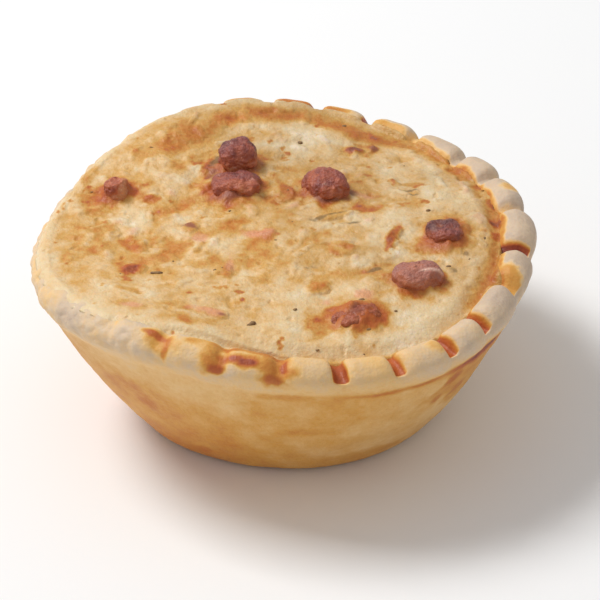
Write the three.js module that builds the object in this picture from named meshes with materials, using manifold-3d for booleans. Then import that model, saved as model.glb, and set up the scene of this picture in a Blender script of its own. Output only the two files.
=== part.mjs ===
// An individual quiche: a crimped shortcrust case, filled with baked custard and diced ham.
// Millimetres, +Z up. The origin is the middle of the flat foot, and -Y is the front.
import * as THREE from "three";
import { mergeVertices } from "three/addons/utils/BufferGeometryUtils.js";
import Module from "manifold-3d";

const wasm = await Module();
wasm.setup();

// Driving dimensions
const RIM_RADIUS = 40; // mean outer radius over the crimps
const HEIGHT = 31; // from the foot to the crown of the crimps, on average
const FOOT_RADIUS = 26.8; // where the wall meets the rounded foot
const FOOT_CORNER = 3.8;
const WALL_TILT = THREE.MathUtils.degToRad(28); // from the vertical
const WALL_BULGE = 0.9;
const WALL_THICKNESS = 4.2;
const FLOOR = 4;
const RIM_BAND = 6.3; // height of the crimped band, on average
const GAP = 0.3; // between pieces that touch

// The crimps: pressed grooves between rounded lobes, deep on the right and nearly baked away on the left.
// Their directions in degrees, clockwise from the back left.
const GROOVES = [
  118, 106, 92.7, 80.2, 66.2, 51.5, 34, 19.5, 1.5, -17, -30.5, -44.3, -54.4, -67.2, -79.8, -92.4, -105, -119, -132,
  -146, -160, -174, -188, -202, -223,
];
const GROOVE_DROP = 1.9;
const GROOVE_PULL = 1.15;
const DEEPEST_GROOVE = THREE.MathUtils.degToRad(-8);
const STATIONS = [0, 0.1, 0.24, 0.5, 0.76, 0.9]; // phases of one crimp, a groove at 0

// The outline isn't quite round: [waves, height in mm, direction of a crest in degrees].
const OUT_OF_ROUND = [
  [1, 0.8, -81],
  [2, 0.6, -86],
  [3, 1.0, -39],
  [4, 0.3, 25],
];

// Nor is the rim quite level, or its crimped band the same height all round.
const RIM_WAVES = [
  [1, 0.9, 137],
  [3, 1.45, -5],
];
const BAND_WAVES = [[1, 0.75, 130]];

// The custard
const FILL_DROP = 1.3; // below the crimps, at the edge
const FILL_DOME = 0.6;
const FILL_RISE = 1; // where it has baked up towards the crimps, most of all at the back left
const HIGHEST_RISE = THREE.MathUtils.degToRad(152);
const FILL_RINGS = 19;
const RELIEF = 0.75;
const FINE_RELIEF = 0.35;

// Diced ham: [x, y, length, width, height, turn in degrees, height of its middle above the custard]
const HAM = [
  [-7.2, 17.0, 6.1, 5.6, 5.6, 12, 1.2],
  [-7.5, 10.2, 7.8, 6.0, 4.6, -6, -0.2],
  [6.7, 9.0, 6.4, 7.4, 5.6, 20, 0.1],
  [24.7, -6.3, 5.8, 6.0, 4.0, 15, -0.6],
  [19.7, -17.3, 7.4, 5.4, 5.0, 12, -0.1],
  [10.0, -25.6, 8.0, 4.4, 3.2, 28, -0.8],
  [-26.9, 10.2, 4.6, 3.9, 3.8, 70, 0.1],
];

// Smaller scraps of ham and herb that lie in the surface: [x, y, length, width, height, turn in degrees]
const SCRAPS = [
  [12.2, 23.1, 3.6, 1.9, 1.7, 5],
  [15.1, 23.8, 1.9, 1.7, 1.5, 40],
  [-14.9, -0.6, 3.2, 2.6, 1.7, 60],
  [16.8, -5.2, 2.2, 4.4, 1.5, -25],
  [8.7, -8.5, 4.2, 3.8, 1.3, 0],
  [7.8, 0.8, 6.4, 2.2, 1.5, 18],
  [-23.0, -12.8, 3.6, 3.0, 1.5, -20],
  [-22.7, -5.5, 2.4, 4.4, 1.3, 10],
  [0.0, 8.6, 3.4, 4.8, 1.6, 10],
  [-11.4, -25.4, 5.2, 2.6, 1.4, -18],
  [4.4, -18.4, 4.4, 3.0, 1.3, 25],
  [-9.8, -14.0, 3.0, 4.6, 1.1, 0],
];

const CASE_MATERIAL = new THREE.MeshStandardMaterial({ color: 0xe0bd86, roughness: 0.72 });
const CUSTARD_MATERIAL = new THREE.MeshStandardMaterial({ color: 0xe3c079, roughness: 0.45 });
const HAM_MATERIAL = new THREE.MeshStandardMaterial({ color: 0x98513f, roughness: 0.4 });

const lerp = THREE.MathUtils.lerp;
const smoothstep = THREE.MathUtils.smoothstep;

// Value noise from 0 to 1, one cell for each unit of x and y.
function lattice(i, j) {
  const s = Math.sin(i * 127.1 + j * 311.7) * 43758.5453;
  return s - Math.floor(s);
}

function noise(x, y) {
  const i = Math.floor(x);
  const j = Math.floor(y);
  const u = smoothstep(x - i, 0, 1);
  const v = smoothstep(y - j, 0, 1);
  const low = lerp(lattice(i, j), lattice(i + 1, j), u);
  const high = lerp(lattice(i, j + 1), lattice(i + 1, j + 1), u);
  return lerp(low, high, v);
}

// The sum of some waves round the quiche, at an angle.
function swing(angle, waves) {
  let total = 0;
  for (const [count, height, crest] of waves)
    total += height * Math.cos(count * (angle - THREE.MathUtils.degToRad(crest)));
  return total;
}

// The outer radius over the crimps at an angle, with the oval waves scaled by share.
const outline = (angle, radius = RIM_RADIUS, share = 1) => radius + share * swing(angle, OUT_OF_ROUND);

const crownHeight = (angle) => HEIGHT + swing(angle, RIM_WAVES);

const bandHeight = (angle) => RIM_BAND + swing(angle, BAND_WAVES);

// The angle of a place between one groove, at phase 0, and the next, at 1.
function crimpAngle(crimp, phase) {
  const next = crimp + 1 < GROOVES.length ? GROOVES[crimp + 1] : GROOVES[0] - 360;
  return THREE.MathUtils.degToRad(lerp(GROOVES[crimp], next, phase));
}

// 0 in a groove and 1 on the crown of a lobe, with steep shoulders.
function lobe(phase) {
  const fromGroove = 1 - Math.abs(2 * phase - 1);
  const rise = THREE.MathUtils.clamp((fromGroove - 0.12) / 0.88, 0, 1);
  return 1 - (1 - rise) ** 3;
}

// How deep the grooves are round the rim, from nearly none to full.
function grooveDepth(angle) {
  return 0.56 + 0.48 * Math.cos(angle - DEEPEST_GROOVE);
}

// Profile of the rim, over the crimped band: [inset from the outline, depth below the crown as a share of the band's
// height, share of pull, share of drop].
const RIM_PROFILE = [
  [1.6, 1, 0, 0],
  [0.8, 0.83, 0.15, 0],
  [0.25, 0.64, 0.5, 0],
  [0, 0.43, 0.85, 0.15],
  [0.35, 0.24, 1, 0.5],
  [1.5, 0.07, 0.8, 0.9],
  [2.9, 0, 0, 1],
  [4.3, 0.07, 0, 0.8],
  [5.3, 0.24, 0, 0.35],
  [5.9, 0.46, 0, 0],
];

// The foot's outline carries half of the rim's ovals, which fade in up the wall.
function footRadius(angle, radius) {
  return outline(angle, radius, 0.5);
}

// The outer wall from the foot's corner, at share 0, to the crease under the rim, at 1.
function wallPoint(angle, share) {
  const low = footRadius(angle, FOOT_RADIUS - FOOT_CORNER + FOOT_CORNER * Math.cos(WALL_TILT));
  const high = outline(angle) - RIM_PROFILE[0][0];
  const bottom = FOOT_CORNER * (1 - Math.sin(WALL_TILT));
  return {
    r: lerp(low, high, share) + WALL_BULGE * Math.sin(Math.PI * share),
    z: lerp(bottom, crownHeight(angle) - bandHeight(angle), share),
  };
}

// The case's inner wall at a height.
function innerRadius(angle, z) {
  const edge = outline(angle) - RIM_PROFILE.at(-1)[0];
  const top = crownHeight(angle) - RIM_PROFILE.at(-1)[1] * bandHeight(angle);
  const foot = footRadius(angle, FOOT_RADIUS - WALL_THICKNESS + 1);
  return lerp(foot, edge, Math.max(0, (z - FLOOR) / (top - FLOOR)) ** 0.9);
}

// Closes a stack of rings, from the first pole to the last, into one surface that faces out.
function skin(firstPole, rings, lastPole) {
  const count = rings[0].length;
  const positions = [firstPole, ...rings.flat(), lastPole].flat();
  const last = positions.length / 3 - 1;
  const at = (ring, j) => 1 + ring * count + (j % count);
  const faces = [];
  for (let j = 0; j < count; j++) {
    faces.push(0, at(0, j + 1), at(0, j));
    for (let i = 0; i + 1 < rings.length; i++) {
      faces.push(at(i, j), at(i, j + 1), at(i + 1, j + 1));
      faces.push(at(i, j), at(i + 1, j + 1), at(i + 1, j));
    }
    faces.push(last, at(rings.length - 1, j), at(rings.length - 1, j + 1));
  }
  return geometryOf(positions, faces);
}

function geometryOf(positions, faces) {
  const geometry = new THREE.BufferGeometry();
  geometry.setAttribute("position", new THREE.Float32BufferAttribute(positions, 3));
  geometry.setIndex(faces);
  return geometry;
}

const polar = (r, angle, z) => [r * Math.cos(angle), r * Math.sin(angle), z];

// The case: up the outside from the foot, over the crimped rim and down the inside to the floor.
function caseGeometry() {
  const stations = [];
  for (let crimp = GROOVES.length - 1; crimp >= 0; crimp--)
    for (const phase of STATIONS.map((p) => 1 - p)) stations.push({ crimp, phase });
  const ring = (place) =>
    stations.map(({ crimp, phase }) => {
      const angle = crimpAngle(crimp, phase);
      const { r, z } = place(angle, crimp, phase);
      return polar(r, angle, z);
    });
  const rings = [ring((a) => ({ r: footRadius(a, FOOT_RADIUS - FOOT_CORNER), z: 0 }))];
  const tangent = Math.PI / 2 - WALL_TILT;
  rings.push(
    ring((a) => ({
      r: footRadius(a, FOOT_RADIUS - FOOT_CORNER * (1 - Math.sin(tangent / 2))),
      z: FOOT_CORNER * (1 - Math.cos(tangent / 2)),
    })),
  );
  for (const share of [0, 0.25, 0.5, 0.78]) rings.push(ring((a) => wallPoint(a, share)));
  for (const [inset, depth, pull, drop] of RIM_PROFILE)
    rings.push(
      ring((a, crimp, phase) => {
        const groove = (1 - lobe(phase)) * grooveDepth(a);
        const swell = 0.35 * (noise(crimp, 7.5) - 0.5) * lobe(phase);
        return {
          r: outline(a) - inset - pull * (GROOVE_PULL * groove - swell),
          z: crownHeight(a) - depth * bandHeight(a) - drop * (GROOVE_DROP * groove - swell),
        };
      }),
    );
  rings.push(ring((a) => ({ r: innerRadius(a, HEIGHT - 8), z: HEIGHT - 8 })));
  rings.push(ring((a) => ({ r: innerRadius(a, FLOOR), z: FLOOR })));
  return skin([0, 0, 0], rings, [0, 0, FLOOR]);
}

// How far the custard has risen at an angle, from 0 to 1.
const risen = (angle) => THREE.MathUtils.clamp(0.42 + 0.65 * Math.cos(angle - HIGHEST_RISE), 0, 1);

// Height of the custard's top at a place: a low dome with soft lumps, drawn up round each piece of ham.
function custardTop(x, y) {
  const angle = Math.atan2(y, x);
  const share = Math.min(1, Math.hypot(x, y) / (outline(angle) - RIM_PROFILE.at(-1)[0]));
  const lumps = RELIEF * (noise(x / 6.5 + 11, y / 6.5 + 4) - 0.5) + FINE_RELIEF * (noise(x / 2.8, y / 2.8) - 0.5);
  let skirt = 0;
  for (const [hamX, hamY, length, width] of HAM) {
    const away = Math.hypot(x - hamX, y - hamY) / (0.35 * (length + width));
    skirt = Math.max(skirt, 0.7 * Math.exp(-away * away));
  }
  const fade = smoothstep(1 - share, 0, 0.08);
  const edge = HEIGHT - FILL_DROP + share ** 2 * swing(angle, RIM_WAVES) - 0.6 * (1 - fade);
  const rise = FILL_RISE * risen(angle) * smoothstep(share, 0.5, 0.9);
  return edge + FILL_DOME * (1 - share ** 2.5) + rise + fade * (lumps + skirt);
}

// The custard: a disc of even triangles on top, the case's inner wall round it and a flat base.
function custardGeometry() {
  const positions = [0, 0, custardTop(0, 0)];
  const faces = [];
  const start = (ring) => (ring === 0 ? 0 : 1 + 3 * ring * (ring - 1));
  const at = (ring, j) => (ring === 0 ? 0 : start(ring) + (j % (6 * ring)));
  for (let ring = 1; ring <= FILL_RINGS; ring++)
    for (let j = 0; j < 6 * ring; j++) {
      const angle = (j * Math.PI) / (3 * ring);
      const edge = crownHeight(angle) - FILL_DROP - 0.6;
      const r = (ring / FILL_RINGS) * (innerRadius(angle, edge) - GAP);
      const [x, y] = polar(r, angle, 0);
      positions.push(x, y, custardTop(x, y));
    }
  for (let ring = 1; ring <= FILL_RINGS; ring++)
    for (let side = 0; side < 6; side++)
      for (let i = 0; i < ring; i++) {
        const outer = side * ring + i;
        const inner = side * (ring - 1) + i;
        faces.push(at(ring - 1, inner), at(ring, outer), at(ring, outer + 1));
        if (i < ring - 1) faces.push(at(ring - 1, inner), at(ring, outer + 1), at(ring - 1, inner + 1));
      }
  const count = 6 * FILL_RINGS;
  let upper = start(FILL_RINGS);
  for (const z of [HEIGHT - 8, FLOOR + GAP]) {
    const lower = positions.length / 3;
    for (let j = 0; j < count; j++) {
      const angle = (j * 2 * Math.PI) / count;
      const next = (j + 1) % count;
      positions.push(...polar(innerRadius(angle, z - GAP) - GAP - 0.05, angle, z));
      faces.push(lower + j, lower + next, upper + next, lower + j, upper + next, upper + j);
    }
    upper = lower;
  }
  const base = positions.length / 3;
  positions.push(0, 0, FLOOR + GAP);
  for (let j = 0; j < count; j++) faces.push(base, upper + ((j + 1) % count), upper + j);
  return geometryOf(positions, faces);
}

// A cooked lump: a ball pushed out towards a box, dented by noise, that is grown all round by a margin.
function lumpGeometry([x, y, length, width, height, turn], lift, detail, seed, margin = 0) {
  const geometry = new THREE.IcosahedronGeometry(1, detail);
  geometry.deleteAttribute("normal");
  geometry.deleteAttribute("uv");
  const merged = mergeVertices(geometry, 1e-4);
  const points = merged.getAttribute("position");
  const p = new THREE.Vector3();
  for (let i = 0; i < points.count; i++) {
    p.fromBufferAttribute(points, i).normalize();
    const boxy = (Math.abs(p.x) ** 3 + Math.abs(p.y) ** 3 + Math.abs(p.z) ** 3) ** (-1 / 3);
    const dent = 1 + 0.22 * (noise(1.7 * p.x + 1.3 * p.z + 5 * seed, 1.7 * p.y - 1.1 * p.z) - 0.5);
    p.multiplyScalar(boxy * dent).multiply(new THREE.Vector3(length / 2, width / 2, height / 2));
    p.addScaledVector(p.clone().normalize(), margin);
    points.setXYZ(i, p.x, p.y, p.z);
  }
  merged.rotateZ(THREE.MathUtils.degToRad(turn));
  merged.translate(x, y, custardTop(x, y) + lift);
  return merged;
}

function solid(geometry) {
  const vertProperties = new Float32Array(geometry.getAttribute("position").array);
  const triVerts = new Uint32Array(geometry.index.array);
  return new wasm.Manifold(new wasm.Mesh({ numProp: 3, vertProperties, triVerts }));
}

function geometryFrom(manifold) {
  const { vertProperties, triVerts } = manifold.getMesh();
  return geometryOf([...vertProperties], [...triVerts]);
}

// The custard with its scraps fused on, and a pocket for each piece of ham.
function filledCustard() {
  let custard = solid(custardGeometry());
  SCRAPS.forEach((scrap, i) => {
    custard = custard.add(solid(lumpGeometry(scrap, 0.1, 1, i + 20)));
  });
  HAM.forEach((ham, i) => {
    custard = custard.subtract(solid(lumpGeometry(ham, ham[6], 3, i, GAP + 0.05)));
  });
  return geometryFrom(custard);
}

const quiche = new THREE.Group();

function add(name, geometry, material) {
  const mesh = new THREE.Mesh(geometry, material);
  mesh.name = name;
  quiche.add(mesh);
}

add("pastry_case", caseGeometry(), CASE_MATERIAL);
add("custard", filledCustard(), CUSTARD_MATERIAL);
HAM.forEach((ham, i) => add(`ham_${i + 1}`, lumpGeometry(ham, ham[6], 3, i), HAM_MATERIAL));

export default quiche;
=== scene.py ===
# An individual quiche: a crimped shortcrust case, baked custard and diced ham.
# The shapes are worked out in millimetres, in the part's own frame, and the meshes are made in metres.
import itertools
import math

import bmesh
import bpy
import numpy as np
from mathutils import Matrix, Vector


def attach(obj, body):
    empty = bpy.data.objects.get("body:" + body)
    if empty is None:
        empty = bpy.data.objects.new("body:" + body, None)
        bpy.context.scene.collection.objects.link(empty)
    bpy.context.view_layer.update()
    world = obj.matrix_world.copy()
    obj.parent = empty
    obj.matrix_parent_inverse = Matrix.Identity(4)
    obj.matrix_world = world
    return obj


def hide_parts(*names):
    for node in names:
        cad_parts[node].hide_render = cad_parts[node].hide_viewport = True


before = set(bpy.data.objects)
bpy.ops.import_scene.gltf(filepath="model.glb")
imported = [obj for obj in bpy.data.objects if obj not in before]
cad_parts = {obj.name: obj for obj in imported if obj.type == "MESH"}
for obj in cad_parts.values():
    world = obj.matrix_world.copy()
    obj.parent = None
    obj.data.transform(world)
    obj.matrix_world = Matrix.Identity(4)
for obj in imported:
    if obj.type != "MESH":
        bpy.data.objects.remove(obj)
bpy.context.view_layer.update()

MM = 0.001
BODY = "root"

# What makes the noise look random
SCRAMBLE_STEPS = (127.1, 311.7, 74.7)
SCRAMBLE_SCALE = 43758.5453
SEED_SHIFT = 19.7
OCTAVE_SHIFT = 5.3

# The case, as the part has it
RIM_RADIUS = 40
HEIGHT = 31
FOOT_RADIUS = 26.8
FOOT_CORNER = 3.8
WALL_TILT = math.radians(28)
WALL_BULGE = 0.9
WALL_THICKNESS = 4.2
FLOOR = 4
RIM_BAND = 6.3
GAP = 0.3
INNER_BEND = HEIGHT - 8
FOOT_OVAL = 0.5

# Waves round the rim: how many, millimetres, and the direction of a crest in degrees
OUT_OF_ROUND = [(1, 0.8, -81), (2, 0.6, -86), (3, 1.0, -39), (4, 0.3, 25)]
RIM_WAVES = [(1, 0.9, 137), (3, 1.45, -5)]
BAND_WAVES = [(1, 0.75, 130)]

# The crimps: directions of the pressed grooves in degrees, clockwise from the back left
GROOVES = [
    118, 106, 92.7, 80.2, 66.2, 51.5, 34, 19.5, 1.5, -17, -30.5, -44.3, -54.4, -67.2, -79.8, -92.4, -105,
    -119, -132, -146, -160, -174, -188, -202, -223,
]
CRIMPS = len(GROOVES)
GROOVE_DROP = 1.9
GROOVE_PULL = 1.15
GROOVE_FLOOR = 0.12
GROOVE_MEAN, GROOVE_SWING = 0.56, 0.48
DEEPEST_GROOVE = math.radians(-8)
LOBE_SWELL = 0.35
COLUMNS_PER_CRIMP = 28

# Profile of the rim: inset from the outline, depth below the crown as a share of the band's height,
# share of pull, share of drop
RIM_PROFILE = [
    (1.6, 1, 0, 0),
    (0.8, 0.83, 0.15, 0),
    (0.25, 0.64, 0.5, 0),
    (0, 0.43, 0.85, 0.15),
    (0.35, 0.24, 1, 0.5),
    (1.5, 0.07, 0.8, 0.9),
    (2.9, 0, 0, 1),
    (4.3, 0.07, 0, 0.8),
    (5.3, 0.24, 0, 0.35),
    (5.9, 0.46, 0, 0),
]
RIM_WIDTH = RIM_PROFILE[-1][0]
SHOULDER_ROW = 4

# Pressed slots in the rim: number of the groove, depth, half width and how brown its floor is
SLOTS = [
    (1, 0.2, 1.2, 0.5), (2, 0.3, 1.1, 0.7), (3, 0.3, 1.2, 0.8), (4, 0.4, 1, 0.84), (5, 0.2, 1, 0.4),
    (8, 0.3, 0.9, 0.36), (9, 0.8, 1.05, 0.92), (10, 0.1, 1.4, 0.46), (11, 0.7, 0.95, 0.8),
    (12, 0.65, 1, 0.78), (13, 0.6, 0.85, 0.76), (14, 0.7, 1.15, 0.8),
]

# The custard
FILL_DROP = 1.3
FILL_DOME = 0.6
FILL_RISE = 1
RISE_MEAN, RISE_SWING = 0.42, 0.65
HIGHEST_RISE = math.radians(152)
EDGE_DIP = 0.6
RELIEF, LUMP_SIZE = 0.75, 6.5
FINE_RELIEF, FINE_LUMP_SIZE = 0.35, 2.8
SKIRT_HEIGHT, SKIRT_REACH = 0.7, 0.35
FILL_RINGS = 172
SIDE_HEIGHTS = (INNER_BEND, FLOOR + GAP)
SHREDS, SHRED_REACH = 420, 35
RELIEF_SINK, MERGED_LIFT, WALL_START = 0.25, 0.14, 3.2
SCRAP_SINK, SCRAP_SHARE = 0.4, 0.55

# Noise read on a cylinder of this radius, as high up as a place is from the middle, runs in streaks
SWIRL_RADIUS = 13

# Where the custard's edge lies on the rim: direction in degrees, inset from the outline
CUSTARD_EDGE = [
    (-180, 0.9), (-150, 1), (-136, 1.7), (-124, 3.2), (-112, 4.4), (-100, 5.2), (-60, 5.3), (-36, 5.2),
    (-30, 3.2), (-24, 5.2), (20, 5.2), (38, 4.6), (54, 3.6), (75, 2.6), (100, 2), (125, 1.4), (150, 1),
    (180, 0.9),
]

# How smoothly the custard runs into the rim: direction in degrees, 1 where no edge shows
MERGED = [(-180, 1), (-112, 1), (-100, 0.4), (-88, 0), (30, 0), (60, 0.4), (80, 0.8), (110, 1), (180, 1)]

# Diced ham: x, y, length, width, height, turn in degrees, height of its middle above the custard
HAM = [
    (-7.2, 17, 6.1, 5.6, 5.6, 12, 1.2),
    (-7.5, 10.2, 7.8, 6, 4.6, -6, -0.2),
    (6.7, 9, 6.4, 7.4, 5.6, 20, 0.1),
    (24.7, -6.3, 5.8, 6, 4, 15, -0.6),
    (19.7, -17.3, 7.4, 5.4, 5, 12, -0.1),
    (10, -25.6, 8, 4.4, 3.2, 28, -0.8),
    (-26.9, 10.2, 4.6, 3.9, 3.8, 70, 0.1),
]

# How the pieces of ham differ: how much further roasted, share of the fat, share of the cheese crust
HAM_LOOKS = [(0.24, 1, 0.3), (0, 1, 1), (0.1, 1, 1), (0.28, 1, 1), (0, 1, 1), (-0.1, 1, 1), (-0.24, 0.3, 0.5)]

# The pieces, counted from 0, that are paler behind, and that are streaked with fat that carries a painted
# highlight
PALE_BEHIND = 2
STREAKED_WITH_FAT_AND_HIGHLIGHT = 4

# Smaller scraps of ham and herb that lie in the surface: x, y, length, width, height, turn in degrees
SCRAPS = [
    (12.2, 23.1, 3.6, 1.9, 1.7, 5), (15.1, 23.8, 1.9, 1.7, 1.5, 40), (-14.9, -0.6, 3.2, 2.6, 1.7, 60),
    (16.8, -5.2, 2.2, 4.4, 1.5, -25), (8.7, -8.5, 4.2, 3.8, 1.3, 0), (7.8, 0.8, 6.4, 2.2, 1.5, 18),
    (-23, -12.8, 3.6, 3, 1.5, -20), (-22.7, -5.5, 2.4, 4.4, 1.3, 10), (0, 8.6, 3.4, 4.8, 1.6, 10),
    (-11.4, -25.4, 5.2, 2.6, 1.4, -18), (4.4, -18.4, 4.4, 3, 1.3, 25), (-9.8, -14, 3, 4.6, 1.1, 0),
]

# Browned patches of the custard: x, y, length, width, turn in degrees, how far baked from 0 to 1
TOASTED = [
    (0.4, 9.4, 2.6, 6.4, 10, 0.66), (2, 14.4, 6, 4, 0, 0.46), (8.7, -8.3, 4, 3.4, 0, 0.6),
    (4.6, -18.4, 4, 3.2, 20, 0.58), (8, -15.6, 9, 3.6, 12, 0.48), (17, -5, 1.8, 5, -20, 0.74),
    (33, 4.2, 1.8, 1.8, 0, 0.84), (32.6, 9.2, 1.6, 2.8, 20, 0.74), (32.9, -2.4, 1.8, 2.2, 0, 0.78),
    (32.8, -6.4, 1.6, 2.6, 0, 0.76), (30.6, 15.8, 1.8, 4.4, 30, 0.68), (12.2, 23, 3.6, 1.8, 5, 0.84),
    (-24, -12.8, 4.2, 3.8, 0, 0.66), (-23.6, -13.2, 2.2, 2.2, 0, 0.8), (-24, -4.4, 2.4, 5.8, 12, 0.62),
    (-24.2, -3, 1.2, 2.6, 12, 0.7), (-18.6, -9.4, 8, 3.8, 28, 0.6), (-15.8, -6, 3.4, 4, 0, 0.56),
    (-9.8, -12.6, 1.6, 6.4, 14, 0.52), (-7.6, -12.8, 1.2, 6.4, -14, 0.46), (-3.9, -5.2, 4.6, 6, 0, 0.52),
    (-13.4, -7.2, 1.6, 6, -30, 0.5), (-16, -24.4, 4, 2.4, -20, 0.5), (-15, -28.4, 1.8, 3.6, 30, 0.54),
    (-24, -19.6, 5, 1.6, -30, 0.5), (-22.4, -24, 6.4, 4.2, 0, 0.4), (-31.1, -8.5, 4, 4.4, 0, 0.42),
    (-31, -16.4, 3.4, 4.4, 30, 0.4), (-30, 5.6, 4.4, 3, 20, 0.5), (-21.3, 7.8, 2.2, 2.6, 0, 0.6),
    (24.4, -7.4, 9, 6, 20, 0.6), (9.6, -26.4, 10.4, 4, 28, 0.62), (3.6, -29, 3, 5.4, -30, 0.46),
    (-11.6, 16.6, 2.6, 6.4, 0, 0.56), (-7.4, 6.6, 7, 3, 0, 0.58), (13.4, 3.2, 7, 2, 0, 0.58),
    (2.4, 3, 8, 3.2, 20, 0.42), (12, 23, 7, 3.4, 0, 0.5), (20.4, 10.6, 3.6, 1.2, 0, 0.46),
    (-20.2, 20.8, 8, 2.8, 14, 0.48), (-12, 20.4, 6, 1.6, 0, 0.42), (-31.6, 15.6, 5, 2.4, 60, 0.42),
    (-26, 0, 4.4, 3, 0, 0.42), (-4, -16, 6, 3, 0, 0.36), (-13.4, 12.4, 3, 5, 0, 0.46),
]

# Pale patches of the custard, and pink ones where ham has stained it: x, y, length, width, turn
PALE = [
    (4.6, 28.4, 6, 4.6, 0), (2.4, 21, 4, 8, 0), (17, -27.4, 15, 8, 40), (21, 14, 14, 9, -40),
    (-14, 3.4, 4.4, 3.4, 0), (-30.4, -23, 7, 6, 30), (-36, -5, 3, 8, 0), (-12, -18.4, 20, 3, -14),
]
PINK = [
    (12.8, 7, 4.6, 2.6, -10), (-11.6, -25.2, 6.4, 2.4, -18), (-4.6, -3, 4.4, 2.4, 0),
    (11.1, -20.4, 3.2, 2.6, 0), (-23, -24.6, 3, 1.6, 0), (-13.4, -3.6, 2.6, 3, 0), (-8.6, -12, 1.6, 4, 0),
    (5.4, -22, 3, 2.2, 0),
]

# The golden band along the back: direction in degrees, inset of its middle from the outline
GOLDEN_BAND = [
    (25, 4.8), (43, 5.4), (55, 7.4), (66, 9.4), (84, 7.6), (91, 8.6), (102, 8.8), (115, 9.8), (127, 10.8),
    (140, 9.4),
]

# Purple-brown scraps of ham in the custard, and dull green traces of herb: x, y, length, width, turn
PURPLE = [
    (-14.9, -0.2, 3.4, 1.5, -35), (-11.2, 13.4, 2, 4.6, 10), (-7.4, 13.4, 6, 3, 0),
    (12.2, 23, 3.8, 1.3, 5), (15.3, 23.9, 1.5, 1.5, 0), (10.2, -25.4, 4.6, 2.4, 30),
    (-9.6, -26.2, 1.8, 1, -20), (-8, 7.4, 7.4, 1.8, 0), (7.2, 5.8, 7, 1.6, 0), (10.4, 8, 3.6, 2, -24),
]
HERBS = [
    (7.8, 1, 6.6, 1, 18), (5.6, 0, 3, 1.2, 10), (10.8, -1.2, 4, 0.8, 14), (19.8, 8.4, 4.4, 0.9, 4),
    (20.4, 6.8, 4, 0.7, 12), (3.4, -13, 7, 1.6, 8), (13.6, -14.4, 2.4, 1, 20), (25, -15.4, 2.6, 2.2, 40),
    (27.6, -11, 1.2, 2.2, 0), (-10.6, 18.6, 2, 4, 0),
]

# Stains on the wall, and one band of painted shade: direction in degrees, height, width round the wall,
# height of the stain, how far baked
WALL_STAINS_AND_SHADE = [
    (-162, 12, 11, 11, 0.58), (-150, 4.6, 15, 4.6, 0.54), (-134, 17.4, 10, 7, 0.54),
    (-130, 15, 4, 3.4, 0.62), (-140, 3, 12, 2.4, 0.58), (-119, 5, 3, 2.4, 0.64),
    (-98.5, 16.5, 2.6, 9, 0.47), (-92, 24, 8, 1.6, 0.54), (-83, 22.6, 9, 1.8, 0.5),
    (-85, 18.6, 21, 9, 0.42), (-79, 19.4, 6, 8, 0.48), (-87, 14.4, 8.5, 1.8, 0.48),
    # The first row here, low by the foot at -66 degrees, is painted shade along the foot
    (-66, 4.2, 12, 2.6, 0.5), (-50, 18, 9, 9, 0.52), (-52, 20.4, 3.4, 2.4, 0.72),
    (-47, 16.4, 3.6, 3.6, 0.64), (-54, 16, 2, 2, 0.6), (-40, 15, 8, 9, 0.5),
]
HIDDEN_STAINS = 20

# Marks that run round the case: the directions in degrees where each starts, is full, fades and ends
BROWN_WALL = (-62, -34, -10, 20)
BROWN_CREASE = (-62, -44, -24, 14)
# The dark line under the custard's edge at the front is part crack, part painted shadow
CRACK_AND_SHADOW = (-101, -98, -90, -84)
BACK_BAND = (18, 36, 128, 146)

# Stains on the rim: direction in degrees, inset from the outline or below 0 down the outer face,
# length round the rim, width, how far baked
RIM_STAINS = [
    (-107, 0.4, 3.8, 5, 0.6), (-106, -0.8, 2, 2.2, 0.8), (-109, 3.4, 6, 2.2, 0.5),
    (-100.5, 1.8, 5.6, 2.2, 0.64), (-99.5, 1.6, 2.2, 0.8, 0.9), (-102, 1.9, 2.4, 0.9, 0.84),
    (-103, 4, 5, 1.6, 0.6), (-96, 4.2, 8, 2, 0.62), (-93, 0.8, 4.8, 6, 0.55), (-93.5, -1, 3.4, 2, 0.7),
    (-91.5, 2, 1, 2.4, 0.76), (-119, 1.4, 4.6, 3.6, 0.44), (-121, 2.4, 4.4, 0.8, 0.66),
    (-117.5, 0.8, 0.9, 4.4, 0.6), (-57, 2.6, 3, 2.4, 0.42), (86, 3, 7, 3.6, 0.62), (74, 3, 4, 2.2, 0.54),
    (98, 3, 9, 4.6, 0.46), (112, 3.4, 8, 3.4, 0.46), (60, 3.6, 8, 2, 0.42), (44, 4.6, 8, 1.4, 0.36),
    (18, 1, 4, 2.4, 0.36), (11, 1.6, 3, 3.4, 0.36), (-28, 3.2, 4.4, 5, 0.46),
]

# Specks of pepper and herb: x, y, length, width, turn in degrees
SPECKS = [
    (-5.5, -27.7, 1.6, 1.2, 30), (0.9, -24.2, 0.6, 0.5, 40), (-1.6, -5.2, 0.6, 0.5, 0),
    (-11, -13.8, 0.7, 0.5, 30), (-19.7, -14.4, 1.7, 0.6, -5), (11, -21.9, 0.9, 0.7, 20),
    (15.9, -24.1, 0.5, 0.4, 0), (11.6, -28.6, 0.8, 0.4, 20), (3.8, -33, 0.8, 0.5, -30),
    (24.6, -14, 0.8, 0.5, 0), (22.7, 0.8, 0.9, 0.6, 0), (30.8, -7.6, 0.4, 0.8, 0),
    (3.2, 24.6, 0.7, 0.8, 0), (11, 31.4, 1, 0.6, 10), (-31, 11.2, 0.6, 0.4, 0), (-21.4, 22, 0.9, 0.4, 0),
    (10.6, -33, 0.6, 0.4, 0), (28, -12.4, 0.6, 0.4, 50),
]
SCATTERED_SPECKS, SPECK_REACH = 8, 31

# The studio, in metres and watts
FLOOR_HALF_WIDTH = 3
KEY_PLACE = (-0.5, 0.24, 0.82)
KEY_AIM = (0, 0, 0.02)
KEY_SIZE = 0.35
KEY_POWER = 7.1
WORLD_STRENGTH = 0.5

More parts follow.
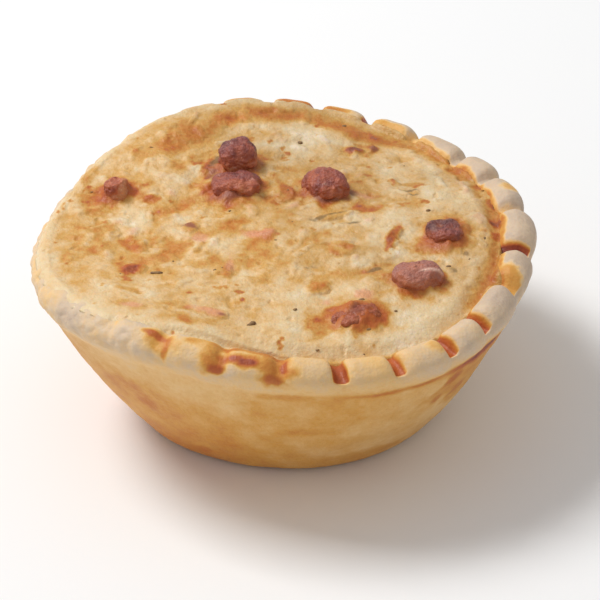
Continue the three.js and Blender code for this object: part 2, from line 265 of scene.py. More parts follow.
# The camera, in degrees and millimetres
CAMERA_ELEVATION, CAMERA_ROLL = 33.8, 2.5
CAMERA_DISTANCE, TARGET_HEIGHT = 340, 12
AIM_RIGHT, AIM_UP = 1.8, 2.91
LENS, SENSOR = 125.5, 36


def lerp(low, high, share):
    return low + (high - low) * share


def smoothstep(x, low, high):
    t = np.clip((x - low) / (high - low), 0, 1)
    return t * t * (3 - 2 * t)


def between(x, start, full, fading, end):
    """1 from full to fading, with soft ends that reach 0 at start and at end."""
    return smoothstep(x, start, full) * smoothstep(x, end, fading)


def hump(away, width):
    """1 where away is 0, falling off over a width to both sides."""
    return np.exp(-((away / width) ** 2))


def browned(bake, baked, share):
    """The bake taken towards a browner one by a share."""
    return np.maximum(bake, lerp(bake, baked, share))


def scrambled(value):
    """A number from 0 to 1 that looks random."""
    s = np.sin(value) * SCRAMBLE_SCALE
    return s - np.floor(s)


def lattice(i, j):
    return scrambled(i * SCRAMBLE_STEPS[0] + j * SCRAMBLE_STEPS[1])


def noise(x, y):
    """Value noise from 0 to 1, one cell for each unit of x and y."""
    i, j = np.floor(x), np.floor(y)
    u, v = smoothstep(x - i, 0, 1), smoothstep(y - j, 0, 1)
    low = lerp(lattice(i, j), lattice(i + 1, j), u)
    high = lerp(lattice(i, j + 1), lattice(i + 1, j + 1), u)
    return lerp(low, high, v)


def grain(points, cell, seed, octaves=1):
    """Noise through space from -1 to 1, whose first octave has cells of that many millimetres."""
    total, weight_sum = np.zeros(len(points)), 0
    for octave in range(octaves):
        scaled = points * (2**octave / cell) + SEED_SHIFT * seed + OCTAVE_SHIFT * octave
        corner = np.floor(scaled)
        t = smoothstep(scaled - corner, 0, 1)
        value = np.zeros(len(points))
        for step in itertools.product((0, 1), repeat=3):
            weight = np.prod(np.where(np.array(step) == 1, t, 1 - t), axis=1)
            value += weight * scrambled((corner + step) @ SCRAMBLE_STEPS)
        total += (2 * value - 1) / 2**octave
        weight_sum += 1 / 2**octave
    return total / weight_sum


def polar(r, angle, z):
    return np.stack([r * np.cos(angle), r * np.sin(angle), z], -1)


def swing(angle, waves):
    """The sum of some waves round the quiche."""
    return sum(height * np.cos(count * (angle - math.radians(crest))) for count, height, crest in waves)


def outline(angle, radius=RIM_RADIUS, share=1):
    """The outer radius over the crimps at an angle."""
    return radius + share * swing(angle, OUT_OF_ROUND)


def crown_height(angle):
    return HEIGHT + swing(angle, RIM_WAVES)


def band_height(angle):
    return RIM_BAND + swing(angle, BAND_WAVES)


def crimp_angle(count):
    """The angle of a place on the rim, counted in crimps from the first groove."""
    return np.radians(np.interp(count, np.arange(CRIMPS + 1), [*GROOVES, GROOVES[0] - 360]))


def crimp_count(angle):
    """The other way round: the place on the rim, in crimps, at an angle."""
    behind_first = (GROOVES[0] - np.degrees(angle)) % 360
    starts = [GROOVES[0] - groove for groove in GROOVES] + [360]
    return np.interp(behind_first, starts, np.arange(CRIMPS + 1)) % CRIMPS


def lobe(phase, power=3):
    """0 in a groove and 1 on the crown of a lobe, with steep shoulders."""
    from_groove = 1 - np.abs(2 * phase - 1)
    rise = np.clip((from_groove - GROOVE_FLOOR) / (1 - GROOVE_FLOOR), 0, 1)
    return 1 - (1 - rise) ** power


def groove_depth(angle):
    """How deep the grooves are round the rim, from nearly none to full."""
    return GROOVE_MEAN + GROOVE_SWING * np.cos(angle - DEEPEST_GROOVE)


def foot_radius(angle, radius):
    return outline(angle, radius, FOOT_OVAL)


def wall_point(angle, share):
    """The outer wall from the foot's corner, at share 0, to the crease under the rim, at 1."""
    low = foot_radius(angle, FOOT_RADIUS - FOOT_CORNER + FOOT_CORNER * math.cos(WALL_TILT))
    high = outline(angle) - RIM_PROFILE[0][0]
    bottom = FOOT_CORNER * (1 - math.sin(WALL_TILT))
    r = lerp(low, high, share) + WALL_BULGE * math.sin(math.pi * share)
    return r, lerp(bottom, crown_height(angle) - band_height(angle), share)


def inner_radius(angle, z):
    """The case's inner wall at a height."""
    edge = outline(angle) - RIM_WIDTH
    top = crown_height(angle) - RIM_PROFILE[-1][1] * band_height(angle)
    foot = foot_radius(angle, FOOT_RADIUS - WALL_THICKNESS + 1)
    return lerp(foot, edge, np.maximum(0, (z - FLOOR) / (top - FLOOR)) ** 0.9)


def slot_field(count, radius):
    """How deep and how brown the pressed slots are on the rim, before they fade along its profile."""
    depth, brown = np.zeros(len(count)), np.zeros(len(count))
    pitch = 2 * math.pi * radius / CRIMPS
    for groove, deep, half_width, baked in SLOTS:
        away = np.abs((count - groove + CRIMPS / 2) % CRIMPS - CRIMPS / 2) * pitch
        inside = 1 - smoothstep(away, half_width - 0.3, half_width + 0.35)
        depth = np.maximum(depth, deep * inside)
        brown = np.maximum(brown, baked * (1 - smoothstep(away, half_width - 0.15, half_width + 0.5)))
    return depth, brown


def rim_ring(angle, inset, depth, pull, drop):
    """One ring over the crimps: radius and height at each angle."""
    count = crimp_count(angle)
    crimp, phase = np.floor(count), count % 1
    swell = LOBE_SWELL * (noise(crimp, 7.5) - 0.5) * lobe(phase)
    soft = (1 - lobe(phase)) * groove_depth(angle)
    crisp = (1 - lobe(phase, 6)) * groove_depth(angle)
    slot, _ = slot_field(count, RIM_RADIUS - inset)
    on_top = smoothstep(drop, 0.1, 0.5) * smoothstep(inset, -0.4, 0.6)
    r = outline(angle) - inset - pull * (GROOVE_PULL * soft - swell)
    z = crown_height(angle) - depth * band_height(angle) - drop * (GROOVE_DROP * crisp - swell)
    return r, z - slot * on_top


def rim_surface(angle, inset):
    """Height of the top of the rim, from its outer shoulder inwards, at an inset from the outline."""
    insets, depths, _, drops = zip(*RIM_PROFILE[SHOULDER_ROW:])
    return rim_ring(angle, inset, np.interp(inset, insets, depths), 0, np.interp(inset, insets, drops))[1]


def risen(angle):
    """How far the custard has risen at an angle, from 0 to 1."""
    return np.clip(RISE_MEAN + RISE_SWING * np.cos(angle - HIGHEST_RISE), 0, 1)


def custard_top(x, y):
    """Height of the custard's top at a place, as the part has it."""
    angle = np.arctan2(y, x)
    share = np.minimum(1, np.hypot(x, y) / (outline(angle) - RIM_WIDTH))
    lumps = RELIEF * (noise(x / LUMP_SIZE + 11, y / LUMP_SIZE + 4) - 0.5)
    lumps += FINE_RELIEF * (noise(x / FINE_LUMP_SIZE, y / FINE_LUMP_SIZE) - 0.5)
    skirt = np.zeros_like(lumps)
    for ham_x, ham_y, length, width, *_ in HAM:
        near = hump(np.hypot(x - ham_x, y - ham_y), SKIRT_REACH * (length + width))
        skirt = np.maximum(skirt, SKIRT_HEIGHT * near)
    fade = smoothstep(1 - share, 0, 0.08)
    edge = HEIGHT - FILL_DROP + share**2 * swing(angle, RIM_WAVES) - EDGE_DIP * (1 - fade)
    rise = FILL_RISE * risen(angle) * smoothstep(share, 0.5, 0.9)
    return edge + FILL_DOME * (1 - share**2.5) + rise + fade * (lumps + skirt)


def along_across(x, y, middle_x, middle_y, turn):
    """How far a place lies from a middle, along and across a direction in radians."""
    c, s = math.cos(turn), math.sin(turn)
    return (x - middle_x) * c + (y - middle_y) * s, (y - middle_y) * c - (x - middle_x) * s


def patch(x, y, middle_x, middle_y, length, width, turn, *_):
    """1 in the middle of an oval patch, 0.5 at its edge and 0 away from it."""
    along, across = along_across(x, y, middle_x, middle_y, math.radians(turn))
    u, v = along / (length / 2), across / (width / 2)
    return 0.5 ** (u * u + v * v)


def stained(rows, x, y, ragged, low, high):
    """How much of some patches is at a place, from 0 to 1, with ragged edges."""
    share = np.zeros(len(x))
    for row in rows:
        share = np.maximum(share, smoothstep(patch(x, y, *row) + ragged, low, high))
    return share


def ragged_stain(near, ragged, low, high):
    """How much of one stain is there, from its patch, with ragged edges."""
    return smoothstep(near + ragged * smoothstep(near, 0.05, 0.4), low, high)


def away_from(direction, turn, radius):
    """Millimetres round the quiche, at a radius, from one direction in degrees to another."""
    return math.pi / 180 * ((turn - direction + 180) % 360 - 180) * radius


def random_place(draw, reach):
    """A place within reach of the middle."""
    radius, turn = reach * math.sqrt(draw.uniform()), draw.uniform(0, 2 * math.pi)
    return radius * math.cos(turn), radius * math.sin(turn)


def normals_of(points, faces):
    corner = points[faces]
    across = np.cross(corner[:, 1] - corner[:, 0], corner[:, 2] - corner[:, 0])
    total = np.zeros_like(points)
    for k in range(3):
        np.add.at(total, faces[:, k], across)
    return total / np.maximum(np.linalg.norm(total, axis=1, keepdims=True), 1e-12)


def add_object(name, data):
    made = bpy.data.objects.new(name, data)
    bpy.context.scene.collection.objects.link(made)
    return made


def piece_from(name, points, faces, material, fields):
    """A smooth mesh piece that rides on the part, with its painted fields as attributes."""
    mesh = bpy.data.meshes.new(name)
    mesh.from_pydata((points * MM).tolist(), [], faces.tolist())
    mesh.shade_smooth()
    for field, values in fields.items():
        attribute = mesh.attributes.new(field, "FLOAT", "POINT")
        attribute.data.foreach_set("value", np.asarray(values, np.float32))
    mesh.materials.append(material)
    piece = add_object(name, mesh)
    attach(piece, BODY)
    return piece


class Nodes:
    """Short names for making a material's nodes."""

    def __init__(self, name):
        self.material = bpy.data.materials.new(name)
        self.material.use_nodes = True
        self.tree = self.material.node_tree
        self.shader = self.tree.nodes["Principled BSDF"]

    def node(self, kind, settings=(), **inputs):
        made = self.tree.nodes.new(kind)
        for key, value in dict(settings).items():
            setattr(made, key, value)
        for key, value in inputs.items():
            self.feed(made.inputs[key], value)
        return made

    def feed(self, socket, value):
        """Links a socket, or sets it to a number or to a colour of three numbers."""
        if isinstance(value, bpy.types.NodeSocket):
            self.tree.links.new(value, socket)
        else:
            socket.default_value = (*value, 1) if isinstance(value, tuple) else value

    def field(self, name):
        return self.node("ShaderNodeAttribute", {"attribute_name": name}).outputs["Fac"]

    def noise(self, cell_mm, detail=3.0):
        place = self.node("ShaderNodeTexCoord").outputs["Object"]
        scale = 1 / (cell_mm * MM)
        made = self.node("ShaderNodeTexNoise", Vector=place, Scale=scale, Detail=detail, Roughness=0.55)
        return made.outputs["Fac"]

    def math(self, operation, a, b, clamp=False):
        made = self.node("ShaderNodeMath", {"operation": operation, "use_clamp": clamp})
        self.feed(made.inputs[0], a)
        self.feed(made.inputs[1], b)
        return made.outputs[0]

    def mottle(self, cell_mm, amount, detail=3.0):
        """Noise on both sides of 0, times an amount."""
        return self.math("MULTIPLY", self.math("SUBTRACT", self.noise(cell_mm, detail), 0.5), amount)

    def ramp(self, value, stops):
        """A colour for each value, from stops that hold a place and a screen's colour."""
        made = self.node("ShaderNodeValToRGB", Fac=value)
        elements = made.color_ramp.elements
        while len(elements) < len(stops):
            elements.new(1)
        for element, (place, *shade) in zip(elements, stops):
            element.position = place
            element.color = (*colour(*shade), 1)
        return made.outputs["Color"]

    def mix(self, share, a, b):
        made = self.node("ShaderNodeMix", {"data_type": "RGBA"})
        self.feed(made.inputs[0], share)
        self.feed(made.inputs[6], a)
        self.feed(made.inputs[7], b)
        return made.outputs[2]

    def bump(self, fine_mm, coarse_mm, distance_mm):
        """Roughens the surface with two sizes of noise."""
        height = self.math("ADD", self.noise(fine_mm, 4.0), self.noise(coarse_mm))
        made = self.node("ShaderNodeBump", Height=height, Distance=distance_mm * MM, Strength=1.0)
        self.feed(self.shader.inputs["Normal"], made.outputs["Normal"])

    def finish(self, colour, roughness, specular=0.5, subsurface=0.0, reach_mm=(1.0, 0.6, 0.3)):
        shader = self.shader.inputs
        self.feed(shader["Base Color"], colour)
        self.feed(shader["Roughness"], roughness)
        shader["Specular IOR Level"].default_value = specular
        shader["Subsurface Weight"].default_value = subsurface
        shader["Subsurface Radius"].default_value = reach_mm
        shader["Subsurface Scale"].default_value = MM
        return self.material


def colour(red, green, blue):
    """A colour as a screen shows it, from 0 to 255, as the light values that shaders take."""
    def light(value):
        share = value / 255
        return share / 12.92 if share <= 0.04045 else ((share + 0.055) / 1.055) ** 2.4

    return light(red), light(green), light(blue)


def pastry_material():
    """Shortcrust from pale cream, through gold, to the red-brown of the pressed slots."""
    n = Nodes("shortcrust")
    mottle = n.mottle(4.5, 0.3, detail=4.0)
    fine = n.mottle(0.8, 0.14)
    bake = n.math("ADD", n.math("ADD", n.field("bake"), mottle), fine, clamp=True)
    # The first stop is a greyer, darker cream than the next: painted shade on the least baked lobes, on the
    # right
    crust = n.ramp(bake, [
        (0.0, 199, 176, 153), (0.12, 216, 190, 159), (0.30, 233, 190, 126), (0.46, 218, 160, 76),
        (0.60, 202, 126, 50), (0.76, 186, 94, 42), (0.90, 148, 64, 40), (1.0, 112, 48, 36),
    ])
    n.bump(0.45, 1.6, distance_mm=0.12)
    rough = n.math("SUBTRACT", 0.62, n.math("MULTIPLY", n.field("bake"), 0.2))
    return n.finish(crust, rough, specular=0.4, subsurface=0.12, reach_mm=(1.2, 0.7, 0.35))


def custard_material():
    """Egg and cheese custard: cream and yellow curds, toasted patches, and stains of ham and herb."""
    n = Nodes("baked_custard")
    mottle = n.mottle(3.2, 0.4, detail=4.0)
    curds = n.mottle(0.9, 0.2)
    bake = n.math("ADD", n.math("ADD", n.field("bake"), mottle), curds, clamp=True)
    skin = n.ramp(bake, [
        (0.0, 236, 216, 186), (0.16, 226, 200, 156), (0.30, 224, 186, 132), (0.45, 210, 160, 84),
        (0.60, 197, 124, 48), (0.76, 182, 90, 36), (0.90, 138, 66, 42), (1.0, 100, 52, 40),
    ])
    pinkish = n.mix(n.field("pink"), skin, colour(226, 158, 124))
    meaty = n.mix(n.field("purple"), pinkish, colour(144, 78, 62))
    green = n.mix(n.field("herb"), meaty, colour(122, 96, 58))
    n.bump(0.6, 1.6, distance_mm=0.2)
    rough = n.math("ADD", 0.44, n.mottle(1.5, 0.4))
    return n.finish(green, rough, specular=0.4, subsurface=0.15, reach_mm=(1.4, 0.8, 0.35))


def ham_material():
    """Roasted ham: pinkish meat, red-brown and purple-brown skin, and pale fat, with a painted highlight
    along one streak of fat.
    """
    n = Nodes("roasted_ham")
    bake = n.math("ADD", n.field("bake"), n.mottle(1.4, 0.7, detail=4.0), clamp=True)
    meat = n.ramp(bake, [
        (0.0, 214, 148, 104), (0.25, 196, 112, 76), (0.5, 168, 86, 62), (0.75, 142, 74, 66),
        (1.0, 104, 56, 54),
    ])
    with_fat_and_highlight = n.mix(n.field("fat_and_highlight"), meat, colour(224, 178, 158))
    crusted = n.mix(n.field("crust"), with_fat_and_highlight, colour(164, 86, 54))
    n.bump(0.4, 1.0, distance_mm=0.3)
    rough = n.math("ADD", 0.36, n.mottle(0.8, 0.3))
    return n.finish(crusted, rough, specular=0.5, subsurface=0.1, reach_mm=(1.2, 0.4, 0.25))


def speck_material():
    """Cracked pepper and dried herb, dark brown to tan."""
    n = Nodes("pepper")
    flake = n.ramp(n.noise(0.6), [(0.3, 104, 74, 48), (0.7, 156, 122, 78)])
    return n.finish(flake, 0.6, specular=0.4)


def floor_material():
    n = Nodes("floor")
    return n.finish((0.9, 0.9, 0.9), 0.9, specular=0.1)


def grid_faces(rings, columns):
    """Triangles of a stack of closed rings, with the rings going up and the columns anticlockwise."""
    i, j = np.meshgrid(np.arange(rings - 1), np.arange(columns), indexing="ij")
    after = (j + 1) % columns
    a, b = i * columns + j, i * columns + after
    c, d = (i + 1) * columns + after, (i + 1) * columns + j
    return np.concatenate([np.stack(corners, -1).reshape(-1, 3) for corners in ((a, b, c), (a, c, d))])


def case_rings(angle):
    """The case's profile at each angle: outwards under the foot, up the wall, over the rim and down inside.
    With it go how many steps each gap is split into, and each ring's place in the rim's profile."""
    flat = foot_radius(angle, FOOT_RADIUS - FOOT_CORNER)
    level = np.zeros(len(angle))
    rings = [(share * flat, level) for share in (0.25, 0.5, 0.75, 1)]
    steps = [3, 3, 3]
    tangent = math.pi / 2 - WALL_TILT
    half_way = foot_radius(angle, FOOT_RADIUS - FOOT_CORNER * (1 - math.sin(tangent / 2)))
    rings.append((half_way, level + FOOT_CORNER * (1 - math.cos(tangent / 2))))
    rings += [wall_point(angle, share) for share in (0, 0.25, 0.5, 0.78)]
    steps += [4, 4, 12, 12, 13]
    before_rim = len(rings)
    rings += [rim_ring(angle, *row) for row in RIM_PROFILE]
    steps += [13, 5, 5, 5, 6, 6, 7, 7, 6, 5]
    rings += [(inner_radius(angle, z), level + z) for z in (INNER_BEND, FLOOR)]
    steps += [2, 1]
    return np.array(rings), steps, np.arange(len(rings)) - before_rim


def refined(rings, steps, places, passes=5):
    """More rings in each gap, with the profile's corners rounded, and each one's place in the profile."""
    fine, fine_places = [], []
    for i, count in enumerate(steps):
        for k in range(count):
            fine.append(lerp(rings[i], rings[i + 1], k / count))
            fine_places.append(lerp(places[i], places[i + 1], k / count))
    fine = np.array([*fine, rings[-1]])
    for _ in range(passes):
        fine[1:-1] = (fine[:-2] + 2 * fine[1:-1] + fine[2:]) / 4
    return fine, np.array([*fine_places, places[-1]])


def case_bake_and_painted_light(points, angle, row):
    """How far the pastry is baked, from 0 for pale cream to 1 for nearly burnt, with painted light by
    direction.
    The row is a point's place in the rim's profile, below 0 on the wall."""
    # By direction: the front is baked further partly as painted fill light, as it faces away from the key,
    # and the pale rim on the right keeps the ramp's painted shade
    left = smoothstep(-np.cos(angle), -0.1, 0.7)
    front = smoothstep(-np.sin(angle) - 0.4 * np.maximum(np.cos(angle), 0), 0.2, 0.9)
    behind = smoothstep(np.sin(angle), 0.4, 0.9)
    bake = 0.03 + np.maximum(0.15 * left, 0.2 * front) + 0.1 * behind + 0.06 * grain(points, 9, 3, 2)
    golden = 0.24 + 0.09 * left - 0.07 * front
    bake = wall_bake_and_shade(bake, golden, points, angle, row)
    return np.clip(rim_bake_and_shadow(bake, points, angle, row), 0, 1)


def wall_bake_and_shade(bake, golden, points, angle, row):
    """Adds the wall: golden, more so towards the foot, with stains and a band of painted shade by the foot,
    and a brown crease at the front right, part browning and part painted shade.
    """
    x, y, z = points.T
    turn, radius = np.degrees(angle), np.hypot(x, y)
    wall = smoothstep(row, 3.2, -1.6)
    high = smoothstep(z, 12, 22)
    bake = bake + wall * (golden + 0.05 * smoothstep(z, 16, 1))
    bake += wall * high * (0.26 * between(turn, *BROWN_WALL) - 0.08 * hump(turn + 122, 26))
    bake += 0.06 * wall * grain(points * (1, 1, 0.5), 3.2, 7, 3)
    # The crease under the rim band: a brown line, part browning and part painted shade under the band's edge
    right = between(turn, *BROWN_CREASE) * smoothstep(grain(points, 6, 19, 2), -0.9, 0.1)
    from_crease = np.where(row < 0, (4.5 - 2.2 * right) * row, row - 0.1)
    crease_browning_and_shade = hump(from_crease, 0.6 + 0.5 * right)
    bake += crease_browning_and_shade * (0.66 * right + 0.26 * hump(turn + 66, 16)) * (0.85 + 0.5 * grain(points, 3, 15, 2))
    ragged = 0.7 * grain(points, 2.6, 8, 4)
    # Stains, and at -66 degrees low down a band of painted shade along the foot
    for direction, height, width, tall, baked in wall_stains_and_shade():
        near = patch(away_from(direction, turn, radius), z, 0, height, width, tall, 0)
        bake = browned(bake, baked, ragged_stain(near, ragged, 0.1, 0.9) * wall)
    return bake


def rim_bake_and_shadow(bake, points, angle, row):
    """Adds the rim: brown slots, a golden line and a crack with painted shadow where the custard meets it,
    and stains.
    """
    radius = np.hypot(points[:, 0], points[:, 1])
    turn, inset = np.degrees(angle), outline(angle) - radius
    merged = round_rim(angle, MERGED)
    ragged = 0.5 * grain(points, 1.5, 5, 3)
    _, brown = slot_field(crimp_count(angle), radius)
    in_slot = brown * smoothstep(row, 3.4, 3.8) * smoothstep(ragged + row, 3.2, 3.9)
    bake = np.maximum(bake, in_slot * smoothstep(in_slot + 0.3 * ragged, 0.15, 0.45))
    upper = smoothstep(row, 3.9, 4.5)
    past_edge = inset - custard_edge(angle)
    line = smoothstep(past_edge + 0.7 * ragged, -0.7, 0.1) * upper * (1 - merged)
    bake = np.maximum(bake, line * (0.5 + 0.16 * brown + 0.4 * ragged))
    # A dark line just past the custard's edge at the front: part crack, part painted shadow under its lip
    crack_and_shadow = hump(past_edge + 0.35 + 0.4 * ragged, 0.35) * between(turn, *CRACK_AND_SHADOW) * upper
    bake = np.maximum(bake, 0.92 * crack_and_shadow)

    # A stain's place across the rim is an inset on top, and goes on below 0 down the outer face
    across_rim = np.where(row < 4.5, 0.9 + 1.4 * (row - 4.5), inset)
    face = smoothstep(row, 1, 2)
    for direction, place, length, width, baked in RIM_STAINS:
        near = patch(away_from(direction, turn, radius), across_rim, 0, place, length, width, 0)
        bake = browned(bake, baked, ragged_stain(near, 0.9 * ragged, 0.15, 0.8) * face)
    mottled = merged * smoothstep(row, 1, 3.5)
    return bake + mottled * (0.22 * grain(points, 3.2, 17, 4) + 0.06 * grain(points, 1.2, 18, 2))


def wall_stains_and_shade():
    """The stains and the band of painted shade by the foot that the front shows, and other stains like them
    round the sides and the back.
    """
    draw = np.random.default_rng(4)
    stains = list(WALL_STAINS_AND_SHADE)
    for _ in range(HIDDEN_STAINS):
        direction, height = draw.uniform(-25, 215), draw.uniform(4, 20)
        width, tall = draw.uniform(3, 12), draw.uniform(2, 7)
        stains.append((direction, height, width, tall, draw.uniform(0.42, 0.6)))
    return stains


def build_case(material):
    columns = CRIMPS * COLUMNS_PER_CRIMP
    angle = crimp_angle(CRIMPS * (1 - np.arange(columns) / columns))
    rings, places = refined(*case_rings(angle))
    r, z = rings[:, 0], rings[:, 1]
    points = polar(r, angle, z).reshape(-1, 3)
    under, inside = len(points), len(points) + 1
    points = np.vstack([points, (0, 0, 0), (0, 0, FLOOR)])
    first = np.arange(columns)
    after = (first + 1) % columns
    last_ring = (len(rings) - 1) * columns
    faces = np.vstack([
        grid_faces(len(rings), columns),
        np.stack([np.full(columns, under), after, first], -1),
        np.stack([np.full(columns, inside), last_ring + first, last_ring + after], -1),
    ])
    around = np.append(np.tile(angle, len(rings)), (0, 0))
    row = np.append(np.repeat(places, columns), (places[0], places[-1]))
    relief = 0.2 * grain(points, 7, 1, 2) + 0.1 * grain(points, 2.2, 2, 2) + 0.04 * grain(points, 0.8, 6, 2)
    blistered = smoothstep(-np.cos(around), 0.2, 0.8) * smoothstep(row, 1, 2.5) * smoothstep(row, 6, 4.6)
    relief += blistered * (0.6 * np.abs(grain(points, 2.6, 9, 2)) + 0.16 * grain(points, 0.9, 10, 2) - 0.1)
    resting = smoothstep(points[:, 2], 0.3, 2)
    points = points + normals_of(points, faces) * (relief * resting)[:, None]
    points[:, 2] = np.maximum(points[:, 2], 0)
    bake = case_bake_and_painted_light(points, around, row)
    piece = piece_from("pastry_case_baked", points, faces, material, {"bake": bake})
    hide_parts("pastry_case")


def scrap_field(x, y):
    """Height that the scraps reach at a place, and how much of a scrap is there."""
    height, share = np.full(len(x), -100.0), np.zeros(len(x))
    for scrap_x, scrap_y, length, width, tall, turn in SCRAPS:
        along, across = along_across(x, y, scrap_x, scrap_y, math.radians(turn))
        u, v = along / (length / 2), across / (width / 2)
        cap = np.clip(1 - np.abs(u) ** 3 - np.abs(v) ** 3, 0, 1) ** (1 / 3)
        middle = custard_top(np.array([scrap_x]), np.array([scrap_y]))[0] + 0.1
        height = np.where(cap > 0, np.maximum(height, middle + cap * tall / 2), height)
        share = np.maximum(share, cap)
    return height, share


def shred_field(x, y):
    """Height and tone of shreds of melted cheese that lie across each other in the surface."""
    draw = np.random.default_rng(11)
    height, tone = np.zeros(len(x)), np.zeros(len(x))
    for _ in range(SHREDS):
        middle = random_place(draw, SHRED_REACH)
        turn, length = draw.uniform(0, math.pi), draw.uniform(0.6, 3.2)
        half_width, tall = draw.uniform(0.5, 1.1), draw.uniform(0.05, 0.26)
        bend, shade = draw.uniform(-0.15, 0.15), draw.uniform(-1, 1)
        along, across = along_across(x, y, *middle, turn)
        across = across - bend * along * along
        past_end = np.maximum(0, np.abs(along) - length / 2)
        bump = smoothstep(1 - (past_end * past_end + across * across) / half_width**2, 0, 1)
        tone = lerp(tone, shade, bump)
        height += bump * (tall - 0.5 * height)
    return height, tone


def round_rim(angle, knots):
    """A value read at an angle from knots that run from -180 to 180 degrees."""
    turn = (np.degrees(angle) + 180) % 360 - 180
    return np.interp(turn, *zip(*knots))


def custard_edge(angle):
    """The inset from the outline at which the custard ends on the rim."""
    edge = round_rim(angle, CUSTARD_EDGE)
    ragged = noise(10 * np.cos(angle) + 20, 10 * np.sin(angle) + 20) - 0.5
    fine = noise(31 * np.cos(angle) + 60, 31 * np.sin(angle) + 60) - 0.5
    return edge + (0.9 * ragged + 0.4 * fine) * (1 - 0.9 * round_rim(angle, MERGED))


def disc(rings):
    """Triangles of a disc of even triangles, with ring and place round the ring for each point."""
    ring_of = np.concatenate([[0], *[np.full(6 * ring, ring) for ring in range(1, rings + 1)]])
    turns = [np.arange(6 * ring) * math.pi / (3 * ring) for ring in range(1, rings + 1)]
    turn = np.concatenate([[0.0], *turns])
    faces = []
    for ring in range(1, rings + 1):
        start, count = 1 + 3 * ring * (ring - 1), 6 * ring
        inner_start, inner_count = (0, 1) if ring == 1 else (1 + 3 * (ring - 1) * (ring - 2), 6 * (ring - 1))
        side, i = np.divmod(np.arange(count), ring)
        outer = start + np.arange(count)
        after = start + (np.arange(count) + 1) % count
        inner = inner_start + (side * (ring - 1) + i) % inner_count
        faces.append(np.stack([inner, outer, after], -1))
        keep = i < ring - 1
        beside = inner_start + (side * (ring - 1) + i + 1) % inner_count
        faces.append(np.stack([inner, after, beside], -1)[keep])
    return ring_of / rings, turn, np.vstack(faces)


def custard_fields(points, relief, tone, scraps):
    """What is painted on the custard: its bake, from 0 to 1, with some painted light and shade, and its pink,
    purple and green stains.
    """
    x, y, _ = points.T
    angle = np.arctan2(y, x)
    inset = outline(angle) - np.hypot(x, y)
    ragged = 0.5 * grain(points, 1.9, 21, 4)
    blotches = grain(points, 6, 27, 3)
    smooth_front = smoothstep(-y, 12, 26)
    bake = curd_bake_and_shading(points, relief, tone, blotches, smooth_front)
    for row in PALE:
        bake -= 0.09 * smoothstep(patch(x, y, *row) + ragged, 0.2, 0.9)
    bake, line = edge_bake(bake, points, angle, inset, ragged)

    # Halos round the ham, with a dark ring at each piece's foot, part browning and part painted shade, and
    # the patches one by one
    beside = np.zeros(len(x))
    for ham_x, ham_y, length, width, *_ in HAM:
        halo = patch(x, y, ham_x, ham_y, length + 3.4, width + 3.4, 0) + 0.9 * ragged
        foot_browning_and_shade = patch(x, y, ham_x, ham_y, length + 1.4, width + 1.4, 0) + 0.7 * ragged
        foot_browning_and_shade = smoothstep(foot_browning_and_shade, 0.3, 0.7)
        bake = browned(bake, 0.58, smoothstep(halo, 0.15, 0.9))
        bake = browned(bake, 0.76, foot_browning_and_shade)
        beside = np.maximum(beside, foot_browning_and_shade)
    for row in TOASTED:
        stain = smoothstep(patch(x, y, *row) + ragged, 0.2, 0.8)
        bake = browned(bake, row[-1] + 0.1 * tone + 0.3 * ragged, stain)
    bake = browned(bake, 0.56 + 0.3 * ragged, 0.6 * smoothstep(scraps + ragged, 0.35, 0.9))

    faint_pink = 0.5 * smoothstep(grain(points, 2.6, 26, 3), 0.1, 0.6) * smoothstep(relief, 0.2, 0.5)
    pink = np.maximum(0.66 * stained(PINK, x, y, 1.5 * ragged, 0.3, 0.95), faint_pink)
    # A faint olive cast over the right and the back, calmer at the front, put in the herb field with the herb
    # traces
    olive_cast = 0.13 * smoothstep(x + 0.5 * y, -12, 8) * (1 - 0.7 * smooth_front) * (1 + 1.6 * blotches)
    return {
        "bake": np.clip(bake, 0, 1),
        "pink": pink * (1 - line) * (1 - beside),
        "purple": 0.85 * stained(PURPLE, x, y, 1.2 * ragged, 0.35, 0.95),
        "herb": np.maximum(olive_cast, 0.8 * stained(HERBS, x, y, 1.6 * ragged, 0.45, 0.95)),
    }


def curd_bake_and_shading(points, relief, tone, blotches, smooth_front):
    """The open surface's bake: streaked and blotched, browner in the middle, with painted light on the tops
    and painted shade in the hollows.
    """
    x, y, _ = points.T
    radius = np.hypot(x, y)
    left = smoothstep(-x, -10, 24)
    off_centre = smoothstep(radius, 6, 16)
    streaks = grain(polar(SWIRL_RADIUS, np.arctan2(y, x), radius), 3.6, 22, 4)
    streaks = lerp(grain(points, 3.6, 23, 4), streaks, off_centre)
    bake = 0.26 + 0.05 * left - 0.04 * smooth_front
    bake += (0.3 - 0.18 * smooth_front) * streaks + 0.16 * blotches + 0.06 * tone
    bake += 0.07 * (1 + left) * grain(points, 1.3, 25, 3)
    middle = smoothstep(np.hypot(x - 2, y), 26, 12)
    bake += middle * (0.05 + 0.16 * np.maximum(grain(points, 4.5, 29, 3), -0.3))
    # Paler where the relief stands up and darker in its hollows: painted light and shade on the curds
    return bake - 0.35 * (relief - 0.3) * (1 - 0.5 * smooth_front)


